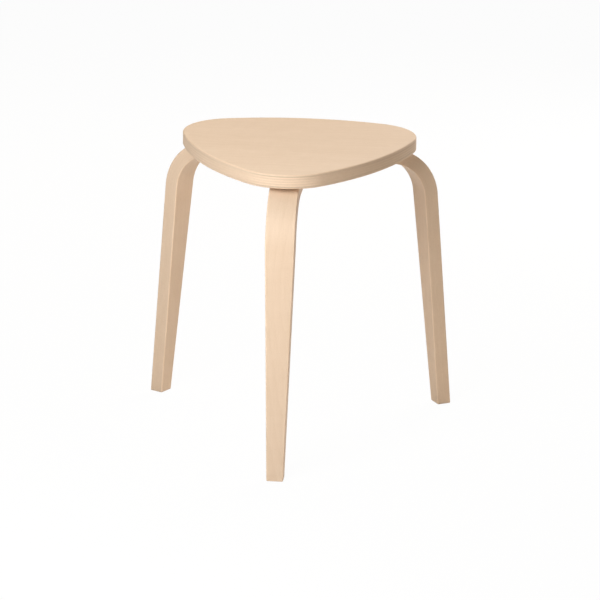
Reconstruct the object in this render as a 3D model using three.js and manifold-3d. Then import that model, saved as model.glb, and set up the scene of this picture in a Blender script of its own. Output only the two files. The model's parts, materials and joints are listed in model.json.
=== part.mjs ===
// Stacking stool: a rounded-triangle seat of glued veneer on three bent legs, each bolted up into the seat.
// Millimetres, +Z up, floor at z = 0, origin under the middle of the footprint, front leg towards -Y.

import * as THREE from 'three';
import { mergeVertices, toCreasedNormals } from 'three/addons/utils/BufferGeometryUtils.js';
import Module from 'manifold-3d';

// Whole stool: the legs stand evenly about the seat's middle
const stoolHeight = 450;
const legSides = ['front', 'right', 'left'];
const firstLegDegrees = -90;

// Seat: a corner arc over each leg, joined by long side arcs, all tangent
const seatThickness = 21.5;
const seatCornerReach = 195;
const seatSideReach = 152.5;
const seatCornerRadius = 81;
const seatArris = 2.5;

// Leg: a tongue flat under the seat, a bend, and a straight leg that leans out and narrows to the foot
const legThickness = 22.5;
const legTopWidth = 44;
const legFootWidth = 25;
const legLeanDegrees = 6;
const legArris = 1.8;
const endArrisShare = 0.8;
const tongueEndReach = 48;
const bendStartReach = 147;
const bendOuterRadius = 87;

// Bolts, two to a leg, sunk into the tongue from below so that they can't scratch a stool that it stands on
const boltReaches = { inner: 76, outer: 124 };
const boltDiameter = 6;
const boltHoldLength = 11;
const boltTipChamfer = 0.8;
const boltHoleClearance = 0.5;
const headDiameter = 10.5;
const headFlatDiameter = 6;
const headHeight = 3.3;
const headRim = 0.7;
const headSink = 0.6;
const socketAcrossFlats = 4;
const socketDepth = 2;
const socketSides = 6;
const washerDiameter = 18;
const washerThickness = 1.6;
const recessClearance = 0.5;

// Threaded inserts, pressed into blind holes in the seat's underside
const insertDiameter = 9.5;
const insertLength = 13;
const insertFlangeDiameter = 12.5;
const insertFlangeThickness = 1.2;
const insertHoleSpare = 1;
const fitGap = 0.3;

// Cuts run past the faces that they open by this much
const overrun = 5;

// How finely curves are cut into flats
const cornerArcSteps = 14;
const sideArcSteps = 12;
const seatArrisSteps = 3;
const legArrisSteps = 2;
const bendSteps = 14;
const hardwareSides = 20;
const headSteps = 3;
const creaseAngle = THREE.MathUtils.degToRad(25);

// Heights and turns that follow
const seatUnderside = stoolHeight - seatThickness;
const tongueUnderside = seatUnderside - legThickness;
const recessTop = tongueUnderside + headSink + headHeight + washerThickness;
const washerUnderside = recessTop - washerThickness;
const bendCentreHeight = seatUnderside - bendOuterRadius;
const quarterTurn = THREE.MathUtils.degToRad(90);
const bendTurn = quarterTurn - THREE.MathUtils.degToRad(legLeanDegrees);
const halfLegTurn = Math.PI / legSides.length;
const firstLegTurn = THREE.MathUtils.degToRad(firstLegDegrees);
const legTurns = legSides.map((_, place) => firstLegTurn + 2 * place * halfLegTurn);

const birch = new THREE.MeshStandardMaterial({ color: 0xe5c9ab, roughness: 0.5, metalness: 0 });
const zinc = new THREE.MeshStandardMaterial({ color: 0xc9ccce, roughness: 0.35, metalness: 1 });

const wasm = await Module();
wasm.setup();

function toManifold(geometry) {
  const bare = geometry.clone();
  bare.deleteAttribute('normal');
  bare.deleteAttribute('uv');
  const merged = mergeVertices(bare);
  const faces = [];
  for (let first = 0; first < merged.index.count; first += 3) {
    const [a, b, c] = merged.index.array.slice(first, first + 3);
    if (a !== b && b !== c && c !== a) faces.push(a, b, c);
  }
  const vertProperties = new Float32Array(merged.attributes.position.array);
  return new wasm.Manifold(new wasm.Mesh({ numProp: 3, vertProperties, triVerts: new Uint32Array(faces) }));
}

function cut(geometry, cutters) {
  const solid = cutters.reduce((rest, cutter) => rest.subtract(toManifold(cutter)), toManifold(geometry));
  const { vertProperties, triVerts } = solid.getMesh();
  const result = new THREE.BufferGeometry();
  result.setAttribute('position', new THREE.BufferAttribute(vertProperties, 3));
  result.setIndex(new THREE.BufferAttribute(triVerts, 1));
  return result;
}

function middleOf(points) {
  const sum = points.reduce((total, point) => total.add(point), new THREE.Vector3());
  return sum.divideScalar(points.length);
}

// A closed solid through rings with as many points each, listed from one end to the other, each ring
// anticlockwise when seen from the far end. Each end face is a fan about its middle.
function solidThroughRings(rings) {
  const count = rings[0].length;
  const last = (rings.length - 1) * count;
  const nearMiddle = last + count;
  const farMiddle = nearMiddle + 1;
  const faces = [];
  for (let i = 0; i < count; i += 1) {
    const next = (i + 1) % count;
    for (let near = 0; near < last; near += count) {
      const far = near + count;
      faces.push(near + i, near + next, far + next, near + i, far + next, far + i);
    }
    faces.push(nearMiddle, next, i, farMiddle, last + i, last + next);
  }
  const points = [...rings.flat(), middleOf(rings[0]), middleOf(rings.at(-1))];
  return new THREE.BufferGeometry().setFromPoints(points).setIndex(faces);
}

// Turns a profile of [radius, height] points about the upright axis
function turned(profile) {
  const points = profile.map(([radius, height]) => new THREE.Vector2(radius, height));
  return new THREE.LatheGeometry(points, hardwareSides).rotateX(quarterTurn);
}

// A round cutter at a place given by its reach from the seat's middle and its turn about it
function post(diameter, bottom, top, reach, turn) {
  const radius = diameter / 2;
  const profile = [[0, bottom], [radius, bottom], [radius, top], [0, top]];
  return turned(profile).translate(reach, 0, 0).rotateZ(turn);
}

// The steps of an arris: how far each has cut in, and how far it still is from the face that it runs into
function arrisSteps(radius, steps) {
  return Array.from({ length: steps + 1 }, (_, step) => {
    const turn = (step / steps) * quarterTurn;
    return { inset: radius * (1 - Math.cos(turn)), depth: radius * (1 - Math.sin(turn)) };
  });
}

// An arc's points without its last, which the next arc starts with
function arc(centre, radius, from, to, steps) {
  return Array.from({ length: steps }, (_, step) => {
    const turn = from + ((to - from) * step) / steps;
    return new THREE.Vector2(centre.x + radius * Math.cos(turn), centre.y + radius * Math.sin(turn));
  });
}

// The seat's outline at one height, moved in by inset. A side arc runs through the side's middle and meets
// the corner arcs beside it smoothly. Its radius is negative where the side is hollow.
function seatRing(inset, height) {
  const middle = new THREE.Vector2();
  const cornerCentreReach = seatCornerReach - seatCornerRadius;
  const alongSide = cornerCentreReach * Math.sin(halfLegTurn);
  const pastSide = cornerCentreReach * Math.cos(halfLegTurn) - seatSideReach;
  const sideRadius =
    (seatCornerRadius ** 2 - pastSide ** 2 - alongSide ** 2) / (2 * (pastSide + seatCornerRadius));
  const sideCentreReach = sideRadius - seatSideReach;
  const outwards = Math.sign(sideRadius);
  const tangentTurn = Math.atan2(
    outwards * sideCentreReach * Math.sin(halfLegTurn),
    outwards * (cornerCentreReach + sideCentreReach * Math.cos(halfLegTurn)),
  );
  const outline = legTurns.flatMap((corner) => {
    const cornerCentre = new THREE.Vector2(cornerCentreReach, 0).rotateAround(middle, corner);
    const sideCentre = new THREE.Vector2(-sideCentreReach, 0).rotateAround(middle, corner + halfLegTurn);
    const cornerEnd = corner + tangentTurn;
    const nextCornerStart = corner + 2 * halfLegTurn - tangentTurn;
    return [
      ...arc(cornerCentre, seatCornerRadius - inset, corner - tangentTurn, cornerEnd, cornerArcSteps),
      ...arc(sideCentre, sideRadius - inset, cornerEnd, nextCornerStart, sideArcSteps),
    ];
  });
  return outline.map(({ x, y }) => new THREE.Vector3(x, y, height));
}

function seatGeometry() {
  const arris = arrisSteps(seatArris, seatArrisSteps);
  const lower = arris.map(({ inset, depth }) => seatRing(inset, seatUnderside + depth)).reverse();
  const upper = arris.map(({ inset, depth }) => seatRing(inset, stoolHeight - depth));
  const holeTop = seatUnderside + insertLength + insertHoleSpare;
  const flangeTop = seatUnderside + insertFlangeThickness + fitGap;
  const start = seatUnderside - overrun;
  const holes = legTurns.flatMap((turn) =>
    Object.values(boltReaches).flatMap((reach) => [
      post(insertDiameter + 2 * fitGap, start, holeTop, reach, turn),
      post(insertFlangeDiameter + 2 * fitGap, start, flangeTop, reach, turn),
    ]),
  );
  return cut(solidThroughRings([...lower, ...upper]), holes);
}

// The leg's section, with its corners rounded by the arris, moved in by inset
function legSection(width, inset) {
  const round = legArris - inset;
  const across = width / 2 - legArris;
  const through = legThickness / 2 - legArris;
  const corners = [[1, 1], [-1, 1], [-1, -1], [1, -1]];
  return corners.flatMap(([sideways, outwards], corner) =>
    Array.from({ length: legArrisSteps + 1 }, (_, step) => {
      const turn = (corner + step / legArrisSteps) * quarterTurn;
      return {
        across: sideways * across + round * Math.cos(turn),
        through: outwards * through + round * Math.sin(turn),
      };
    }),
  );
}

// A point of the leg in its own upright plane, with the seat's middle at x = 0: the bend has come round by
// turn, and along is how far the point lies past that on the straight
function legPoint({ across, through }, turn, along) {
  const radius = bendOuterRadius - legThickness / 2 + through;
  return new THREE.Vector3(
    bendStartReach + radius * Math.sin(turn) + along * Math.cos(turn),
    across,
    bendCentreHeight + radius * Math.cos(turn) - along * Math.sin(turn),
  );
}

function legRing(turn, along, inset) {
  return legSection(legTopWidth, inset).map((point) => legPoint(point, turn, along));
}

// The foot is cut level, so each point of its ring slides down the leg to the ring's height
function footRing(height, inset) {
  return legSection(legFootWidth, inset).map((point) => {
    const drop = legPoint(point, bendTurn, 0).z - height;
    return legPoint(point, bendTurn, drop / Math.sin(bendTurn));
  });
}

function legGeometry() {
  const endArris = legArris * endArrisShare;
  const tongueEnd = tongueEndReach - bendStartReach;
  const bend = Array.from({ length: bendSteps + 1 }, (_, step) => {
    const turn = (step / bendSteps) * bendTurn;
    return legRing(turn, 0, 0);
  });
  const rings = [
    legRing(0, tongueEnd, endArris),
    legRing(0, tongueEnd + endArris, 0),
    ...bend,
    footRing(endArris, 0),
    footRing(0, endArris),
  ];
  const start = tongueUnderside - overrun;
  const holes = Object.values(boltReaches).flatMap((reach) => [
    post(boltDiameter + 2 * boltHoleClearance, start, seatUnderside + overrun, reach, 0),
    post(washerDiameter + 2 * recessClearance, start, recessTop, reach, 0),
  ]);
  return cut(solidThroughRings(rings), holes);
}

function boltGeometry() {
  const shank = boltDiameter / 2;
  const head = headDiameter / 2;
  const flat = headFlatDiameter / 2;
  const tip = seatUnderside + boltHoldLength;
  const headUnderside = washerUnderside - headHeight;
  const rim = washerUnderside - headRim;
  const dome = Array.from({ length: headSteps + 1 }, (_, step) => {
    const turn = (step / headSteps) * quarterTurn;
    return [flat + (head - flat) * Math.sin(turn), rim - (rim - headUnderside) * Math.cos(turn)];
  });
  const profile = [
    [0, headUnderside],
    ...dome,
    [head, washerUnderside],
    [shank, washerUnderside],
    [shank, tip - boltTipChamfer],
    [shank - boltTipChamfer, tip],
    [0, tip],
  ];
  const socketRadius = socketAcrossFlats / 2 / Math.cos(Math.PI / socketSides);
  const socketTop = headUnderside + socketDepth;
  const socketLength = socketDepth + overrun;
  const socket = new THREE.CylinderGeometry(socketRadius, socketRadius, socketLength, socketSides)
    .rotateX(quarterTurn)
    .translate(0, 0, socketTop - socketLength / 2);
  return cut(turned(profile), [socket]);
}

function washerGeometry() {
  const hole = boltDiameter / 2 + boltHoleClearance;
  const rim = washerDiameter / 2;
  return turned([
    [hole, washerUnderside],
    [rim, washerUnderside],
    [rim, recessTop],
    [hole, recessTop],
    [hole, washerUnderside],
  ]);
}

function insertGeometry() {
  const bore = boltDiameter / 2 + fitGap;
  const sleeve = insertDiameter / 2;
  const flange = insertFlangeDiameter / 2;
  const flangeTop = seatUnderside + insertFlangeThickness;
  const top = seatUnderside + insertLength;
  return turned([
    [bore, seatUnderside],
    [flange, seatUnderside],
    [flange, flangeTop],
    [sleeve, flangeTop],
    [sleeve, top],
    [bore, top],
    [bore, seatUnderside],
  ]);
}

function namedMesh(name, geometry, material) {
  const mesh = new THREE.Mesh(toCreasedNormals(geometry, creaseAngle), material);
  mesh.name = name;
  return mesh;
}

const frame = new THREE.Group();
frame.add(namedMesh('seat', seatGeometry(), birch));
for (const [place, side] of legSides.entries()) {
  const leg = new THREE.Group();
  leg.rotation.z = legTurns[place];
  leg.add(namedMesh(`leg_${side}`, legGeometry(), birch));
  for (const [end, reach] of Object.entries(boltReaches)) {
    const fastener = new THREE.Group();
    fastener.position.x = reach;
    fastener.add(namedMesh(`leg_${side}_bolt_${end}`, boltGeometry(), zinc));
    fastener.add(namedMesh(`leg_${side}_washer_${end}`, washerGeometry(), zinc));
    fastener.add(namedMesh(`leg_${side}_insert_${end}`, insertGeometry(), zinc));
    leg.add(fastener);
  }
  frame.add(leg);
}

// The footprint's middle goes over the origin
frame.updateMatrixWorld(true);
frame.position.y = -new THREE.Box3().setFromObject(frame, true).getCenter(new THREE.Vector3()).y;

const stool = new THREE.Group();
stool.name = 'stacking_stool';
stool.add(frame);

export default stool;
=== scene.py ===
# Looks of the stacking stool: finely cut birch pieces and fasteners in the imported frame, light and camera.
# Metres, +Z up, floor at z = 0, front leg towards -Y, all in the frame's own place.

import json
import math

import bmesh
import bpy
from mathutils import Matrix, Vector


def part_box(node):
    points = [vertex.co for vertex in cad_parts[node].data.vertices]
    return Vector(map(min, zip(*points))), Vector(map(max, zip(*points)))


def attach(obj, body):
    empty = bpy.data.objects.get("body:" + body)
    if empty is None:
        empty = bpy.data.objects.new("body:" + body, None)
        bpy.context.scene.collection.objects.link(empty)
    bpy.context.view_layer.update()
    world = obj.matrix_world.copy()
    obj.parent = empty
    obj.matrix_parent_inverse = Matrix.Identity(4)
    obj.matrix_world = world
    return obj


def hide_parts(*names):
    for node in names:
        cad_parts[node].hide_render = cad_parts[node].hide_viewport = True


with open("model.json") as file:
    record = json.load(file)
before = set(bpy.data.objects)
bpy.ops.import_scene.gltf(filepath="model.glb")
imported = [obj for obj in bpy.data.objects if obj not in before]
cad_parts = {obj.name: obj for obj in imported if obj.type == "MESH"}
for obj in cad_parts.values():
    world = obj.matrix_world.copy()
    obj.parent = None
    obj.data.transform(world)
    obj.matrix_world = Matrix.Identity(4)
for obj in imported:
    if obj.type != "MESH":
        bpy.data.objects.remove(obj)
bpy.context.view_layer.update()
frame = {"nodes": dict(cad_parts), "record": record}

LEG_SIDES = ("front", "right", "left")
BOLT_ENDS = ("inner", "outer")

# Seat: the arc over each leg, rounded edges and veneer layers
SEAT_CORNER_RADIUS = 0.081
SEAT_ARRIS = 0.0025
SEAT_LAYERS = 11

# Leg: bend, taper, rounded edges, veneer layers, and how far on the next leg's figure starts
LEG_TOP_WIDTH = 0.044
LEG_FOOT_WIDTH = 0.025
LEG_LEAN = math.radians(6)
LEG_ARRIS = 0.002
END_ARRIS_SHARE = 0.8
TONGUE_END_REACH = 0.048
BEND_START_REACH = 0.147
BEND_OUTER_RADIUS = 0.087
LEG_LAYERS = 15
LEG_FIGURE_STEP = 1.0

# Fasteners and their holes
BOLT_RADIUS = 0.003
BOLT_TIP_CHAMFER = 0.0008
BOLT_HOLE_RADIUS = 0.0035
HEAD_RADIUS = 0.00525
HEAD_FLAT_RADIUS = 0.003
HEAD_RIM = 0.0007
SOCKET_ACROSS_FLATS = 0.004
SOCKET_DEPTH = 0.002
SOCKET_SIDES = 6
SOCKET_CHAMFER = 0.0002
WASHER_CHAMFER = 0.0003
RECESS_CLEARANCE = 0.0005
INSERT_FLANGE_HEIGHT = 0.0012
INSERT_BODY_RADIUS = 0.00475
INSERT_HOLE_SPARE = 0.001
FIT_GAP = 0.0003

# How finely curves are cut
CORNER_STEPS = 40
SIDE_STEPS = 32
SEAT_ARRIS_STEPS = 8
LEG_ARRIS_STEPS = 6
BEND_STEPS = 48
HARDWARE_SIDES = 60
HEAD_STEPS = 8
SHARP_ANGLE = math.radians(32)

QUARTER_TURN = math.radians(90)


def middle_of(node):
    low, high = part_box(node)
    return (low + high) / 2


# Places and sizes that follow from the frame
seat_low, seat_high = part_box("seat")
bolt_middles = [middle_of(f"leg_{side}_bolt_inner") for side in LEG_SIDES]
seat_middle = sum(bolt_middles, Vector()) / len(bolt_middles)
seat_middle.z = 0.0
corner_reach = seat_middle.y - seat_low.y
side_reach = seat_high.y - seat_middle.y
mount_heights = {mount["name"]: mount["pos_m"][2] for mount in frame["record"]["mounts"]}
tongue_underside = mount_heights["tongue_front_underside"]
leg_thickness = seat_low.z - tongue_underside
washer_low, washer_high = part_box("leg_front_washer_inner")
bolt_low, bolt_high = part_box("leg_front_bolt_inner")
insert_low, insert_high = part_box("leg_front_insert_inner")
washer_radius = (washer_high.x - washer_low.x) / 2
insert_flange_radius = (insert_high.x - insert_low.x) / 2
bend_centre_height = seat_low.z - BEND_OUTER_RADIUS
bend_middle_radius = BEND_OUTER_RADIUS - leg_thickness / 2
bend_turn = QUARTER_TURN - LEG_LEAN
half_leg_turn = math.pi / len(LEG_SIDES)


def flat_offset(node):
    """How far a node's middle lies from the seat's middle, on the level."""
    offset = middle_of(node) - seat_middle
    offset.z = 0.0
    return offset


def turn_of(node):
    offset = flat_offset(node)
    return math.atan2(offset.y, offset.x)


leg_turns = {side: turn_of(f"leg_{side}_bolt_outer") for side in LEG_SIDES}
bolt_reaches = {end: flat_offset(f"leg_front_bolt_{end}").length for end in BOLT_ENDS}


def steps_between(start, end, steps):
    return [start + (end - start) * step / steps for step in range(steps + 1)]


def arris_steps(radius, steps):
    """How far each step of a rounded edge has cut in, and how far it is from the face that it runs into."""
    turns = steps_between(0, QUARTER_TURN, steps)
    return [(radius * (1 - math.cos(turn)), radius * (1 - math.sin(turn))) for turn in turns]


def new_piece(name, mesh, material, node):
    """Makes a visible piece from a bmesh: smooth faces, and sharp edges where the shape turns sharply."""
    bmesh.ops.recalc_face_normals(mesh, faces=mesh.faces)
    for face in mesh.faces:
        face.smooth = True
    for edge in mesh.edges:
        edge.smooth = edge.calc_face_angle(0) < SHARP_ANGLE
    data = bpy.data.meshes.new(name)
    mesh.to_mesh(data)
    mesh.free()
    data.materials.append(material)
    piece = bpy.data.objects.new(name, data)
    bpy.context.scene.collection.objects.link(piece)
    weighted = piece.modifiers.new("even_shading", "WEIGHTED_NORMAL")
    weighted.keep_sharp = True
    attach(piece, "root")
    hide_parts(node)


def skin(mesh, loops):
    """Joins each closed loop of vertices to the next. Returns the faces, a list for each pair of loops."""
    bands = []
    for near, far in zip(loops, loops[1:]):
        count = len(near)
        corners = [(near[i], near[(i + 1) % count], far[(i + 1) % count], far[i]) for i in range(count)]
        bands.append([mesh.faces.new(corner) for corner in corners])
    return bands


def edges_round(mesh, loop):
    """The edges of a closed loop of vertices, made where they are missing."""
    pairs = zip(loop, loop[1:] + loop[:1])
    return [mesh.edges.get(pair) or mesh.edges.new(pair) for pair in pairs]


def fill(mesh, loops):
    """Fills a flat face inside the first loop and outside the others."""
    edges = [edge for loop in loops for edge in edges_round(mesh, loop)]
    bmesh.ops.triangle_fill(mesh, use_beauty=True, edges=edges)


def circle(mesh, centre, radius, height):
    turns = [math.tau * side / HARDWARE_SIDES for side in range(HARDWARE_SIDES)]
    return [
        mesh.verts.new((centre.x + radius * math.cos(turn), centre.y + radius * math.sin(turn), height))
        for turn in turns
    ]


def turned(mesh, centre, profile):
    """Circles through a profile of (radius, height), skinned. Returns the first and the last circle."""
    circles = [circle(mesh, centre, radius, height) for radius, height in profile]
    skin(mesh, circles)
    return circles[0], circles[-1]


def out_from_middle(reach, turn):
    return seat_middle + Vector((reach * math.cos(turn), reach * math.sin(turn), 0.0))


# Seat
def arc_points(centre, radius, start, end, steps):
    """An arc's points without its last, which the next arc starts with."""
    turns = steps_between(start, end, steps)[:-1]
    return [centre + radius * Vector((math.cos(turn), math.sin(turn), 0.0)) for turn in turns]


def seat_outline(inset):
    """The seat's outline moved in by inset: an arc over each leg, and side arcs that run on from them."""
    centre_reach = corner_reach - SEAT_CORNER_RADIUS
    along_side = centre_reach * math.sin(half_leg_turn)
    past_side = centre_reach * math.cos(half_leg_turn) - side_reach
    room = SEAT_CORNER_RADIUS**2 - past_side**2 - along_side**2
    side_radius = room / (2 * (past_side + SEAT_CORNER_RADIUS))
    side_centre_reach = side_radius - side_reach
    tangent_turn = math.atan2(
        side_centre_reach * math.sin(half_leg_turn),
        centre_reach + side_centre_reach * math.cos(half_leg_turn),
    )
    points = []
    for turn in leg_turns.values():
        corner_centre = out_from_middle(centre_reach, turn)
        side_centre = out_from_middle(-side_centre_reach, turn + half_leg_turn)
        corner = (turn - tangent_turn, turn + tangent_turn)
        side = (turn + tangent_turn, turn + 2 * half_leg_turn - tangent_turn)
        points += arc_points(corner_centre, SEAT_CORNER_RADIUS - inset, *corner, CORNER_STEPS)
        points += arc_points(side_centre, side_radius - inset, *side, SIDE_STEPS)
    return points


def seat_loop(mesh, inset, height):
    return [mesh.verts.new((point.x, point.y, height)) for point in seat_outline(inset)]


def insert_hole(mesh, centre):
    """A blind hole for an insert and its flange. Returns the loop that it leaves in the underside."""
    flange_top = seat_low.z + INSERT_FLANGE_HEIGHT + FIT_GAP
    flange_radius = insert_flange_radius + FIT_GAP
    hole_top = insert_high.z + INSERT_HOLE_SPARE
    hole_radius = INSERT_BODY_RADIUS + FIT_GAP
    profile = [
        (flange_radius, seat_low.z),
        (flange_radius, flange_top),
        (hole_radius, flange_top),
        (hole_radius, hole_top),
    ]
    mouth, bottom = turned(mesh, centre, profile)
    mesh.faces.new(bottom)
    return mouth


def make_seat(material):
    mesh = bmesh.new()
    arris = arris_steps(SEAT_ARRIS, SEAT_ARRIS_STEPS)
    lower = [seat_loop(mesh, inset, seat_low.z + depth) for inset, depth in reversed(arris)]
    upper = [seat_loop(mesh, inset, seat_high.z - depth) for inset, depth in arris]
    skin(mesh, lower + upper)
    mesh.faces.new(upper[-1])
    places = [
        out_from_middle(reach, turn)
        for turn in leg_turns.values()
        for reach in bolt_reaches.values()
    ]
    fill(mesh, [lower[0], *[insert_hole(mesh, place) for place in places]])
    grain = mesh.verts.layers.float_vector.new("grain")
    direction = mesh.verts.layers.float_vector.new("grain_direction")
    for vertex in mesh.verts:
        vertex[grain] = (vertex.co.x, vertex.co.y, seat_high.z - vertex.co.z)
        vertex[direction] = (1.0, 0.0, 0.0)
    new_piece("seat_panel", mesh, material, "seat")


# Legs
def leg_section(width, inset):
    """The leg's section as (across, through) points, its corners rounded, moved in by inset."""
    radius = LEG_ARRIS - inset
    across = width / 2 - LEG_ARRIS
    through = leg_thickness / 2 - LEG_ARRIS
    points = []
    for corner, (sideways, outwards) in enumerate(((1, 1), (-1, 1), (-1, -1), (1, -1))):
        start = corner * QUARTER_TURN
        for turn in steps_between(start, start + QUARTER_TURN, LEG_ARRIS_STEPS):
            points.append((
                sideways * across + radius * math.cos(turn),
                outwards * through + radius * math.sin(turn),
            ))
    return points


def leg_place(across, through, turn, along):
    """Where a point of the section lies in the leg's own plane: after a turn round the bend, then along."""
    radius = bend_middle_radius + through
    return Vector((
        BEND_START_REACH + radius * math.sin(turn) + along * math.cos(turn),
        across,
        bend_centre_height + radius * math.cos(turn) - along * math.sin(turn),
    ))


def level_along(across, through, height):
    """How far down the straight leg a point of its section comes to a height."""
    return (leg_place(across, through, bend_turn, 0).z - height) / math.sin(bend_turn)


def leg_rings():
    """The leg's rings from the tongue's end to the foot: for each point its section, turn and along."""
    end_arris = LEG_ARRIS * END_ARRIS_SHARE
    tongue_end = TONGUE_END_REACH - BEND_START_REACH
    rings = []
    for inset, depth in reversed(arris_steps(end_arris, LEG_ARRIS_STEPS)):
        rings.append([(*point, 0, tongue_end + depth) for point in leg_section(LEG_TOP_WIDTH, inset)])
    for turn in steps_between(0, bend_turn, BEND_STEPS):
        rings.append([(*point, turn, 0) for point in leg_section(LEG_TOP_WIDTH, 0)])
    for inset, depth in arris_steps(end_arris, LEG_ARRIS_STEPS):
        section = leg_section(LEG_FOOT_WIDTH, inset)
        rings.append([(*point, bend_turn, level_along(*point, depth)) for point in section])
    return rings


def tongue_holes(mesh):
    """The bolt holes and their recesses. Returns the loops in the tongue's upper and in its lower face."""
    recess_radius = washer_radius + RECESS_CLEARANCE
    profile = [
        (BOLT_HOLE_RADIUS, seat_low.z),
        (BOLT_HOLE_RADIUS, washer_high.z),
        (recess_radius, washer_high.z),
        (recess_radius, tongue_underside),
    ]
    holes = [turned(mesh, Vector((reach, 0, 0)), profile) for reach in bolt_reaches.values()]
    return zip(*holes)


def open_flat(mesh, near, far, after, holes, face):
    """Takes the face between two rings after a point, and fills it again round the holes."""
    outer = [near[after], near[after + 1], far[after + 1], far[after]]
    bmesh.ops.delete(mesh, geom=[face], context="FACES_ONLY")
    fill(mesh, [outer, *holes])


def make_leg(side, number, material):
    mesh = bmesh.new()
    grain = mesh.verts.layers.float_vector.new("grain")
    direction = mesh.verts.layers.float_vector.new("grain_direction")
    to_place = Matrix.Translation(seat_middle) @ Matrix.Rotation(leg_turns[side], 4, "Z")

    def lay_grain(vertex, across, through, turn, along):
        """Gives a vertex its place in the bent veneer, and the way that the fibres run there."""
        length = bend_middle_radius * turn + along
        vertex[grain] = (number * LEG_FIGURE_STEP + length, across, leg_thickness / 2 - through)
        vertex[direction] = to_place.to_3x3() @ Vector((math.cos(turn), 0, -math.sin(turn)))

    loops = []
    for ring in leg_rings():
        loop = []
        for place in ring:
            vertex = mesh.verts.new(leg_place(*place))
            lay_grain(vertex, *place)
            loop.append(vertex)
        loops.append(loop)
    ring_vertices = set(mesh.verts)
    upper_holes, lower_holes = tongue_holes(mesh)
    for vertex in set(mesh.verts) - ring_vertices:
        through = vertex.co.z - tongue_underside - leg_thickness / 2
        lay_grain(vertex, vertex.co.y, through, 0, vertex.co.x - BEND_START_REACH)
    bands = skin(mesh, loops)
    mesh.faces.new(loops[0])
    mesh.faces.new(loops[-1])

    # The tongue's flat faces lie between its rounded end and the bend, after the first and third corners
    tongue = LEG_ARRIS_STEPS
    corner_points = LEG_ARRIS_STEPS + 1
    for corners_before, holes in ((1, upper_holes), (3, lower_holes)):
        after = corners_before * corner_points - 1
        open_flat(mesh, loops[tongue], loops[tongue + 1], after, holes, bands[tongue][after])
    mesh.transform(to_place)
    new_piece(f"leg_{side}_veneered", mesh, material, f"leg_{side}")


# Fasteners
def socket_loop(mesh, centre, half_across_flats, height):
    """A hexagon with its points at the same turns as a circle's, so that the two can be skinned."""
    side_turn = math.tau / SOCKET_SIDES
    loop = []
    for point in range(HARDWARE_SIDES):
        turn = math.tau * point / HARDWARE_SIDES
        from_flat = (turn + side_turn / 2) % side_turn - side_turn / 2
        reach = half_across_flats / math.cos(from_flat)
        loop.append(mesh.verts.new((
            centre.x + reach * math.cos(turn),
            centre.y + reach * math.sin(turn),
            height,
        )))
    return loop


def make_bolt(name, material):
    mesh = bmesh.new()
    centre = middle_of(name)
    head_underside = bolt_low.z
    rim = washer_low.z - HEAD_RIM
    half_across_flats = SOCKET_ACROSS_FLATS / 2
    loops = [
        socket_loop(mesh, centre, half_across_flats, head_underside + SOCKET_DEPTH),
        socket_loop(mesh, centre, half_across_flats, head_underside + SOCKET_CHAMFER),
        socket_loop(mesh, centre, half_across_flats + SOCKET_CHAMFER, head_underside),
    ]
    for turn in steps_between(0, QUARTER_TURN, HEAD_STEPS):
        radius = HEAD_FLAT_RADIUS + (HEAD_RADIUS - HEAD_FLAT_RADIUS) * math.sin(turn)
        height = rim - (rim - head_underside) * math.cos(turn)
        loops.append(circle(mesh, centre, radius, height))
    shank = [
        (HEAD_RADIUS, washer_low.z),
        (BOLT_RADIUS, washer_low.z),
        (BOLT_RADIUS, bolt_high.z - BOLT_TIP_CHAMFER),
        (BOLT_RADIUS - BOLT_TIP_CHAMFER, bolt_high.z),
    ]
    loops += [circle(mesh, centre, radius, height) for radius, height in shank]
    skin(mesh, loops)
    mesh.faces.new(loops[0])
    mesh.faces.new(loops[-1])
    new_piece(f"{name}_turned", mesh, material, name)


def make_washer(name, material):
    mesh = bmesh.new()
    outer = washer_radius
    inner = BOLT_HOLE_RADIUS
    low, high = washer_low.z, washer_high.z
    profile = [
        (inner + WASHER_CHAMFER, low),
        (outer - WASHER_CHAMFER, low),
        (outer, low + WASHER_CHAMFER),
        (outer, high - WASHER_CHAMFER),
        (outer - WASHER_CHAMFER, high),
        (inner + WASHER_CHAMFER, high),
        (inner, high - WASHER_CHAMFER),
        (inner, low + WASHER_CHAMFER),
    ]
    loops = [circle(mesh, middle_of(name), radius, height) for radius, height in profile]
    skin(mesh, [*loops, loops[0]])
    new_piece(f"{name}_stamped", mesh, material, name)


def finish_insert(name, material):
    for slot in frame["nodes"][name].material_slots:
        slot.material = material


# Materials: a mix node's colour sockets share their names with others, so they go by their numbers
MIX_COLOUR_A = 6
MIX_COLOUR_B = 7
MIX_COLOUR_RESULT = 2


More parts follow.
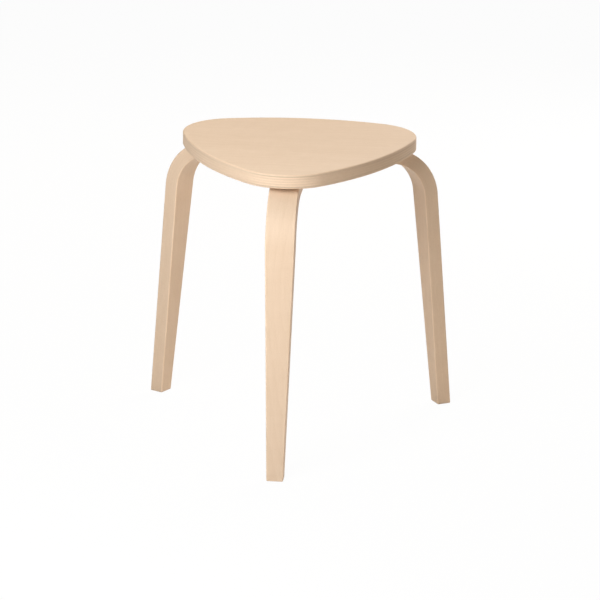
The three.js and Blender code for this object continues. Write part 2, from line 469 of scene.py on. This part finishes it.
class Shader:
    """The node tree of a material or a world, built call by call."""

    def __init__(self, owner):
        owner.use_nodes = True
        self.owner = owner
        self.tree = owner.node_tree
        self.tree.nodes.clear()

    def put(self, socket, value):
        if isinstance(value, bpy.types.NodeSocket):
            self.tree.links.new(value, socket)
        else:
            socket.default_value = value

    def node(self, kind, settings, values):
        """Adds a node, sets it up and feeds its inputs, each by its name or its number."""
        node = self.tree.nodes.new(kind)
        for name, setting in settings.items():
            setattr(node, name, setting)
        for name, value in values.items():
            self.put(node.inputs[name], value)
        return node

    def math(self, operation, *values):
        node = self.node("ShaderNodeMath", {"operation": operation}, dict(enumerate(values)))
        return node.outputs["Value"]

    def vector_math(self, operation, output, values):
        return self.node("ShaderNodeVectorMath", {"operation": operation}, values).outputs[output]

    def dot(self, one, other):
        return self.vector_math("DOT_PRODUCT", "Value", {0: one, 1: other})

    def cross(self, one, other):
        return self.vector_math("CROSS_PRODUCT", "Vector", {0: one, 1: other})

    def unit(self, vector):
        return self.vector_math("NORMALIZE", "Vector", {0: vector})

    def scaled(self, vector, factor):
        return self.vector_math("SCALE", "Vector", {0: vector, "Scale": factor})

    def vector(self, x, y, z):
        return self.node("ShaderNodeCombineXYZ", {}, {"X": x, "Y": y, "Z": z}).outputs["Vector"]

    def parts(self, vector):
        return self.node("ShaderNodeSeparateXYZ", {}, {"Vector": vector}).outputs

    def attribute(self, name):
        return self.node("ShaderNodeAttribute", {"attribute_name": name}, {}).outputs["Vector"]

    def coordinates(self, name):
        return self.node("ShaderNodeTexCoord", {}, {}).outputs[name]

    def blend(self, share, zero, one):
        """A number between zero and one, by the share of one."""
        values = {"Factor": share, "A": zero, "B": one}
        return self.node("ShaderNodeMix", {"data_type": "FLOAT"}, values).outputs["Result"]

    def tint(self, share, zero, one):
        """A colour between zero and one, by the share of one."""
        values = {"Factor": share, MIX_COLOUR_A: zero, MIX_COLOUR_B: one}
        return self.node("ShaderNodeMix", {"data_type": "RGBA"}, values).outputs[MIX_COLOUR_RESULT]

    def spread(self, value, low, high, to_low=0.0, to_high=1.0):
        """Maps low to high onto another range, held at its ends."""
        values = {"Value": value, "From Min": low, "From Max": high, "To Min": to_low, "To Max": to_high}
        return self.node("ShaderNodeMapRange", {"clamp": True}, values).outputs["Result"]

    def noise(self, position, size, layer=0.0, detail=2.0):
        """Soft noise with its features stretched to a size along, across and through the grain."""
        stretch = tuple(1 / length for length in size)
        stretched = self.vector_math("MULTIPLY", "Vector", {0: position, 1: stretch})
        values = {"Vector": stretched, "W": layer, "Scale": 1.0, "Detail": detail}
        return self.node("ShaderNodeTexNoise", {"noise_dimensions": "4D"}, values).outputs["Fac"]

    def surface(self, values, relief, strength, depth):
        """Ends a material with a principled shader and a bump from the relief. Returns the material."""
        shader = self.node("ShaderNodeBsdfPrincipled", {}, values)
        bump = self.node("ShaderNodeBump", {}, {"Strength": strength, "Distance": depth, "Height": relief})
        self.put(shader.inputs["Normal"], bump.outputs["Normal"])
        self.node("ShaderNodeOutputMaterial", {}, {"Surface": shader.outputs["BSDF"]})
        return self.owner


WHITE = (1.0, 1.0, 1.0, 1.0)

BIRCH_PALE = (0.80, 0.62, 0.47, 1.0)
BIRCH_DEEP = (0.665, 0.475, 0.318, 1.0)
BIRCH_MEAN_TONE = 0.35

# Figure of the veneer: each feature's length along, across and through the grain, its finer steps, and how
# strongly it deepens the colour
VENEER_FIGURE = {
    "drift": ((0.30, 0.045, 0.02), 2.0, 0.35),
    "bands": ((0.14, 0.007, 0.007), 2.0, 0.25),
    "ripple": ((0.014, 0.05, 0.01), 2.0, 0.25),
    "streaks": ((0.05, 0.0016, 0.0016), 3.0, 0.45),
    "fibres": ((0.012, 0.0003, 0.0003), 2.0, 0.60),
}
NOISE_MIDDLE = 0.5
GROWTH_SIZE = (0.35, 0.05, 0.02)
GROWTH_RINGS = 11
GROWTH_WEIGHT = 0.12
RING_SHARPNESS = 2.0
RING_MEAN = 0.33
PORE_SIZE = (0.0026, 0.00026, 0.00026)
PORE_RANGE = (0.66, 0.76)
SPECKLE_SIZE = (0.0005, 0.0005, 0.0005)
SPECKLE_RANGE = (0.3, 0.8)
STREAK_RANGE = (0.2, 0.8)
END_GRAIN_SHARPNESS = 2.0

# Glue lines: they lie where layers meet, and fade out over this share of a layer
HALF_LAYER = 0.5
GLUE_FADE_SHARE = 0.07

# Shares of the light that darker places keep
PORE_SHARE = 0.84
GLUE_SHARE = 0.88
SPECKLE_SHARE = 0.90
OUTER_END_GRAIN_SHARE = 0.78
SEAT_EDGE_SHARE = 0.93
LEG_FLANK_SHARE = 0.88

# Lacquer: its gloss, and the relief of the wood under it
LACQUER_ROUGHNESS = (0.52, 0.60)
END_GRAIN_ROUGHNESS = 0.2
LACQUER_SPECULAR = 0.35
FIBRE_RELIEF_SHARE = 0.6
BIRCH_RELIEF_STRENGTH = 0.12
BIRCH_RELIEF = 0.0002

# Zinc: cloudy and finely turned
ZINC_DARK = (0.56, 0.57, 0.57, 1.0)
ZINC_LIGHT = (0.66, 0.66, 0.64, 1.0)
ZINC_CLOUD_SIZE = (0.006, 0.006, 0.006)
ZINC_MARK_SIZE = (0.0012, 0.0012, 0.0002)
ZINC_CLOUD_RANGE = (0.3, 0.7)
ZINC_ROUGHNESS = (0.24, 0.36)
ZINC_RELIEF_STRENGTH = 0.15
ZINC_RELIEF = 0.0001


def veneer_figure(shader, grain, layer):
    """How deep the veneer's colour is, and the noises that make it so, by their names."""
    tone = BIRCH_MEAN_TONE
    noises = {}
    for feature, (size, detail, weight) in VENEER_FIGURE.items():
        noises[feature] = shader.noise(grain, size, layer, detail)
        off_middle = shader.math("SUBTRACT", noises[feature], NOISE_MIDDLE)
        tone = shader.math("MULTIPLY_ADD", off_middle, weight, tone)
    growth = shader.math("MULTIPLY", shader.noise(grain, GROWTH_SIZE, layer, detail=0.0), GROWTH_RINGS)
    ring = shader.math("POWER", shader.math("FRACT", growth), RING_SHARPNESS)
    tone = shader.math("MULTIPLY_ADD", shader.math("SUBTRACT", ring, RING_MEAN), GROWTH_WEIGHT, tone)
    return tone, noises


def grain_shown(shader, turned_layer):
    """How squarely the surface shows a layer's face, and how squarely it cuts across the fibres."""
    normal = shader.coordinates("Normal")
    direction = shader.attribute("grain_direction")
    crosswise = shader.unit(shader.cross((0.0, 0.0, 1.0), direction))
    layer_face = shader.math("ABSOLUTE", shader.dot(normal, shader.cross(direction, crosswise)))
    end_grain = shader.blend(
        turned_layer,
        shader.math("ABSOLUTE", shader.dot(normal, direction)),
        shader.math("ABSOLUTE", shader.dot(normal, crosswise)),
    )
    return layer_face, end_grain


def outer_end_grain(shader, end_grain, layers_down, layers):
    """End grain of the second layer from either face, and less of it from each layer further in."""
    shown = shader.math("POWER", end_grain, END_GRAIN_SHARPNESS)
    layers_in = shader.math("FLOOR", shader.math("PINGPONG", layers_down, layers / 2))
    covered = shader.math("GREATER_THAN", layers_in, 0.0)
    nearness = shader.math("DIVIDE", covered, shader.math("MAXIMUM", layers_in, 1.0))
    return shader.math("MULTIPLY", shown, nearness)


def birch(name, thickness, layers, crossed, edge_share):
    """Lacquered birch veneer. Where its layers are crossed, every second one has its grain turned."""
    shader = Shader(bpy.data.materials.new(name))
    along, across, depth = shader.parts(shader.attribute("grain"))
    layers_down = shader.math("DIVIDE", depth, thickness / layers)
    layer = shader.math("FLOOR", layers_down)
    turned_layer = shader.math("MODULO", layer, 2.0) if crossed else 0.0
    along_grain = shader.blend(turned_layer, along, across)
    across_grain = shader.blend(turned_layer, across, along)
    grain = shader.vector(along_grain, across_grain, depth)
    tone, noises = veneer_figure(shader, grain, layer)
    layer_face, end_grain = grain_shown(shader, turned_layer)

    pores = shader.noise(grain, PORE_SIZE, layer, detail=0.0)
    from_glue = shader.math("PINGPONG", layers_down, HALF_LAYER)
    speckles = shader.noise(grain, SPECKLE_SIZE, layer, detail=1.0)
    end_speckles = shader.math("MULTIPLY", end_grain, speckles)
    darkenings = [
        shader.spread(pores, *PORE_RANGE, 1.0, PORE_SHARE),
        shader.spread(from_glue, 0.0, GLUE_FADE_SHARE, GLUE_SHARE, 1.0),
        shader.spread(layer_face, 0.0, 1.0, edge_share, 1.0),
        shader.spread(end_speckles, *SPECKLE_RANGE, 1.0, SPECKLE_SHARE),
    ]
    if crossed:
        outer = outer_end_grain(shader, end_grain, layers_down, layers)
        darkenings.append(shader.spread(outer, 0.0, 1.0, 1.0, OUTER_END_GRAIN_SHARE))
    shade = 1.0
    for darkening in darkenings:
        shade = shader.math("MULTIPLY", shade, darkening)

    colour = shader.tint(shader.spread(tone, 0.0, 1.0), BIRCH_PALE, BIRCH_DEEP)
    roughness = shader.spread(noises["streaks"], *STREAK_RANGE, *LACQUER_ROUGHNESS)
    values = {
        "Base Color": shader.scaled(colour, shade),
        "Roughness": shader.math("MULTIPLY_ADD", end_grain, END_GRAIN_ROUGHNESS, roughness),
        "Specular IOR Level": LACQUER_SPECULAR,
    }
    relief = shader.math("MULTIPLY_ADD", noises["fibres"], FIBRE_RELIEF_SHARE, noises["streaks"])
    return shader.surface(values, relief, BIRCH_RELIEF_STRENGTH, BIRCH_RELIEF)


def zinc(name):
    """Bright zinc plating: fine turning marks and slight clouding."""
    shader = Shader(bpy.data.materials.new(name))
    position = shader.coordinates("Object")
    cloud = shader.noise(position, ZINC_CLOUD_SIZE, detail=3.0)
    marks = shader.noise(position, ZINC_MARK_SIZE)
    values = {
        "Base Color": shader.tint(cloud, ZINC_DARK, ZINC_LIGHT),
        "Metallic": 1.0,
        "Roughness": shader.spread(cloud, *ZINC_CLOUD_RANGE, *ZINC_ROUGHNESS),
    }
    return shader.surface(values, marks, ZINC_RELIEF_STRENGTH, ZINC_RELIEF)


# Stage. The camera stands as the photo's did, and its aim is taken from the seat's middle on the floor.
CAMERA_AIM = Vector((0.00935, 0.00086, 0.1991))
CAMERA_AZIMUTH = math.radians(5.2428)
CAMERA_ELEVATION = math.radians(17.1782)
CAMERA_ROLL = math.radians(0.7803)
CAMERA_DISTANCE = 5.1684
CAMERA_LENS = 201.2365
CAMERA_SENSOR = 36.0

FLOOR_SIZE = 16.0
FLOOR_DROP = 0.0002
FLOOR_WHITE_SHARE = 0.97
FLOOR_COLOUR = (0.85, 0.84, 0.83, 1.0)

# Azimuth and elevation in degrees as the camera's, distance and size in metres, power in watts, colour
LAMPS = {
    "key_high": (-30, 45, 1.3, 0.8, 2.5, (0.97, 1.0, 0.97)),
    "key_middle": (-20, 30, 1.3, 0.8, 13.6, (0.99, 1.0, 1.0)),
    "back_low": (150, 20, 2.2, 1.4, 22.0, (1.0, 1.0, 1.0)),
    "back_high": (165, 45, 2.2, 1.4, 20.5, (1.0, 0.88, 0.72)),
    "back_left": (-145, 35, 2.2, 1.4, 13.0, (1.0, 0.83, 0.61)),
    "fill_right": (60, 5, 2.2, 0.9, 7.8, (1.0, 0.84, 0.66)),
}


def towards(azimuth, elevation):
    """The direction that the object is seen from. Azimuth 0 is in front, and a quarter turn at its right."""
    level = math.cos(elevation)
    return Vector((math.sin(azimuth) * level, -math.cos(azimuth) * level, math.sin(elevation)))


def seen_as_itself(shader):
    """1 for rays that show the surround to the camera, in gloss and glass too, and 0 for its light."""
    path = shader.node("ShaderNodeLightPath", {}, {}).outputs
    seen = shader.math("MAXIMUM", path["Is Camera Ray"], path["Is Glossy Ray"])
    return shader.math("MAXIMUM", seen, path["Is Transmission Ray"])


def make_floor():
    """A pale floor, mostly plain white where it is seen, so that it keeps a faint shadow."""
    mesh = bmesh.new()
    bmesh.ops.create_grid(mesh, x_segments=1, y_segments=1, size=FLOOR_SIZE / 2)
    data = bpy.data.meshes.new("floor")
    mesh.to_mesh(data)
    mesh.free()
    floor = bpy.data.objects.new("floor", data)
    floor.location.z = -FLOOR_DROP
    bpy.context.scene.collection.objects.link(floor)
    shader = Shader(bpy.data.materials.new("pale_floor"))
    diffuse = shader.node("ShaderNodeBsdfDiffuse", {}, {"Color": FLOOR_COLOUR}).outputs["BSDF"]
    white = shader.node("ShaderNodeEmission", {}, {"Color": WHITE, "Strength": 1.0}).outputs["Emission"]
    share = shader.math("MULTIPLY", seen_as_itself(shader), FLOOR_WHITE_SHARE)
    mix = shader.node("ShaderNodeMixShader", {}, {0: share, 1: diffuse, 2: white})
    shader.node("ShaderNodeOutputMaterial", {}, {"Surface": mix.outputs["Shader"]})
    data.materials.append(shader.owner)


def make_world():
    """White where it is seen. It throws no light on the object: the lamps do that."""
    world = bpy.data.worlds.new("surround")
    bpy.context.scene.world = world
    shader = Shader(world)
    values = {"Color": WHITE, "Strength": seen_as_itself(shader)}
    background = shader.node("ShaderNodeBackground", {}, values)
    shader.node("ShaderNodeOutputWorld", {}, {"Surface": background.outputs["Background"]})


def make_lamp(name, azimuth, elevation, distance, size, power, colour):
    lamp = bpy.data.lights.new(name, "AREA")
    lamp.shape = "DISK"
    lamp.size = size
    lamp.energy = power
    lamp.color = colour
    holder = bpy.data.objects.new(name, lamp)
    bpy.context.scene.collection.objects.link(holder)
    back = towards(math.radians(azimuth), math.radians(elevation))
    facing = back.to_track_quat("Z", "Y").to_matrix().to_4x4()
    aim = seat_middle + Vector((0.0, 0.0, seat_high.z / 2))
    holder.matrix_world = Matrix.Translation(aim + distance * back) @ facing


def make_camera():
    camera = bpy.data.cameras.new("camera")
    camera.sensor_width = CAMERA_SENSOR
    camera.lens = CAMERA_LENS
    holder = bpy.data.objects.new("camera", camera)
    bpy.context.scene.collection.objects.link(holder)
    back = towards(CAMERA_AZIMUTH, CAMERA_ELEVATION)
    level = Vector((math.cos(CAMERA_AZIMUTH), math.sin(CAMERA_AZIMUTH), 0.0))
    up = back.cross(level)
    facing = Matrix((level, up, back)).transposed().to_4x4()
    place = Matrix.Translation(seat_middle + CAMERA_AIM + CAMERA_DISTANCE * back)
    holder.matrix_world = place @ facing @ Matrix.Rotation(CAMERA_ROLL, 4, "Z")
    bpy.context.scene.camera = holder


seat_thickness = seat_high.z - seat_low.z
seat_birch = birch("birch_seat_veneer", seat_thickness, SEAT_LAYERS, True, SEAT_EDGE_SHARE)
leg_birch = birch("birch_leg_veneer", leg_thickness, LEG_LAYERS, False, LEG_FLANK_SHARE)
bright_zinc = zinc("bright_zinc")
make_seat(seat_birch)
for number, side in enumerate(LEG_SIDES):
    make_leg(side, number, leg_birch)
    for end in BOLT_ENDS:
        make_bolt(f"leg_{side}_bolt_{end}", bright_zinc)
        make_washer(f"leg_{side}_washer_{end}", bright_zinc)
        finish_insert(f"leg_{side}_insert_{end}", bright_zinc)

make_floor()
make_world()
for name, settings in LAMPS.items():
    make_lamp(name, *settings)
make_camera()
bpy.context.scene.view_settings.view_transform = "Standard"
